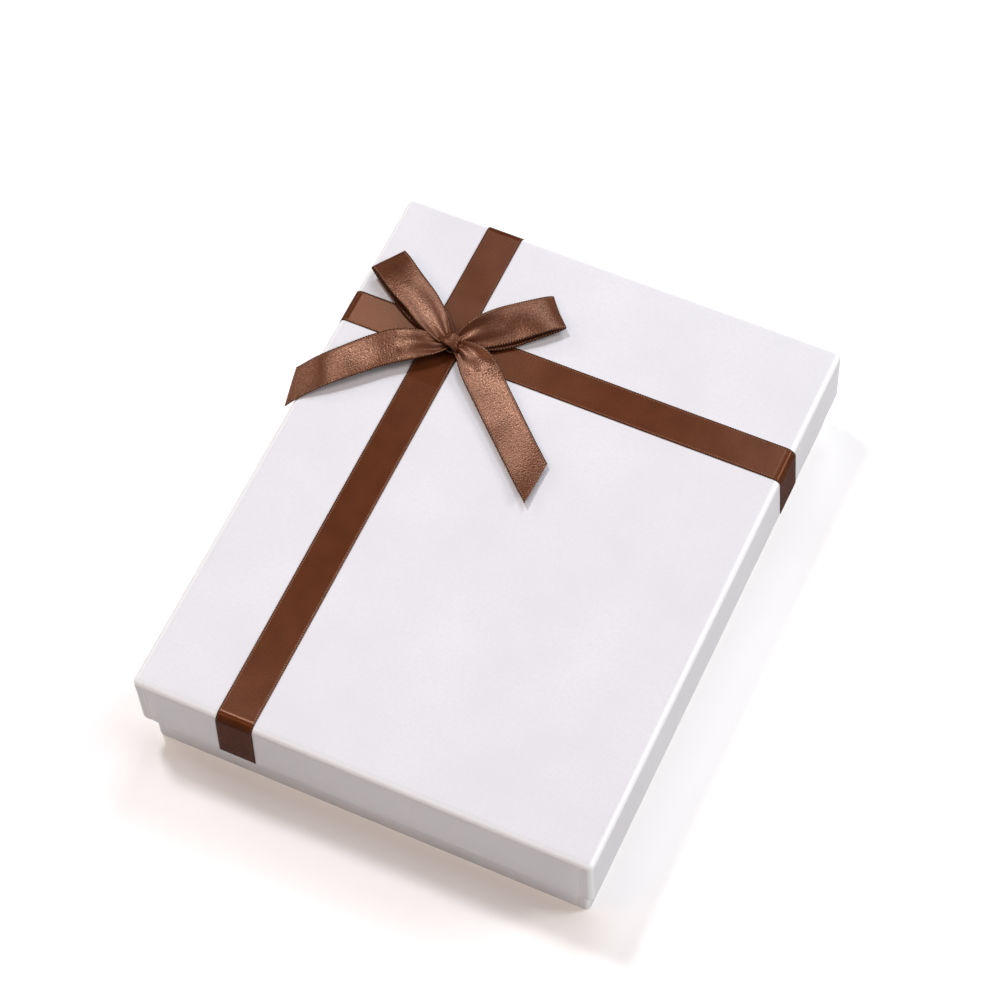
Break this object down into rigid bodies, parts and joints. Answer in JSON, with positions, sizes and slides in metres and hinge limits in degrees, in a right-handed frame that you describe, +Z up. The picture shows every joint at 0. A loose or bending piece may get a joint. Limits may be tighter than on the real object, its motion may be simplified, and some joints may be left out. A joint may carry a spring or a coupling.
{
  "type": "jewelry gift box",
  "caption": "Rigid white paper-covered jewelry gift box: lift-off lid with a brown satin ribbon cross and bow, shallow base, velvet insert and soft cover sheet.",
  "frame": {"origin": "centre of the base's flat underside, where the box stands on the table", "axes": "+Z up, out through the lid; +Y along the box's length, towards the end where the bow is; +X to the right of someone at the front, so the bow is at the back left"},
  "size_m": [0.1298, 0.1606, 0.0389],
  "materials": {
    "greyboard": "matte",
    "white_wrap_paper": "satin",
    "liner_paper": "matte",
    "stay_paper": "matte",
    "insert_card": "matte",
    "insert_foam": "matte",
    "black_velvet": "matte",
    "cover_foam": "matte",
    "satin_ribbon": "satin",
    "hot_glue": "satin"
  },
  "bodies": {
    "base": {"base_board": "greyboard", "base_wrap": "white_wrap_paper", "base_liner": "liner_paper", "base_corner_stay_1": "stay_paper", "base_corner_stay_2": "stay_paper", "base_corner_stay_3": "stay_paper", "base_corner_stay_4": "stay_paper"},
    "insert": {"insert_card": "insert_card", "insert_foam": "insert_foam", "insert_velvet": "black_velvet"},
    "cover_sheet": {"cover_sheet": "cover_foam"},
    "lid": {"lid_board": "greyboard", "lid_wrap": "white_wrap_paper", "lid_liner": "liner_paper", "lid_corner_stay_1": "stay_paper", "lid_corner_stay_2": "stay_paper", "lid_corner_stay_3": "stay_paper", "lid_corner_stay_4": "stay_paper", "ribbon_lengthwise": "satin_ribbon", "ribbon_crosswise": "satin_ribbon", "bow_knot": "satin_ribbon", "bow_loop_left": "satin_ribbon", "bow_loop_right": "satin_ribbon", "bow_tail_left": "satin_ribbon", "bow_tail_right": "satin_ribbon", "bow_glue_dot": "hot_glue"}
  },
  "joints": [
    {"name": "insert_lift", "type": "slide", "parent": "base", "child": "insert", "axis": [0, 0, 1], "range_m": [0, 0.035]},
    {"name": "cover_sheet_lift", "type": "slide", "parent": "insert", "child": "cover_sheet", "axis": [0, 0, 1], "range_m": [0, 0.03]},
    {"name": "lid_lift", "type": "slide", "parent": "cover_sheet", "child": "lid", "axis": [0, 0, 1], "range_m": [0, 0.06]}
  ]
}
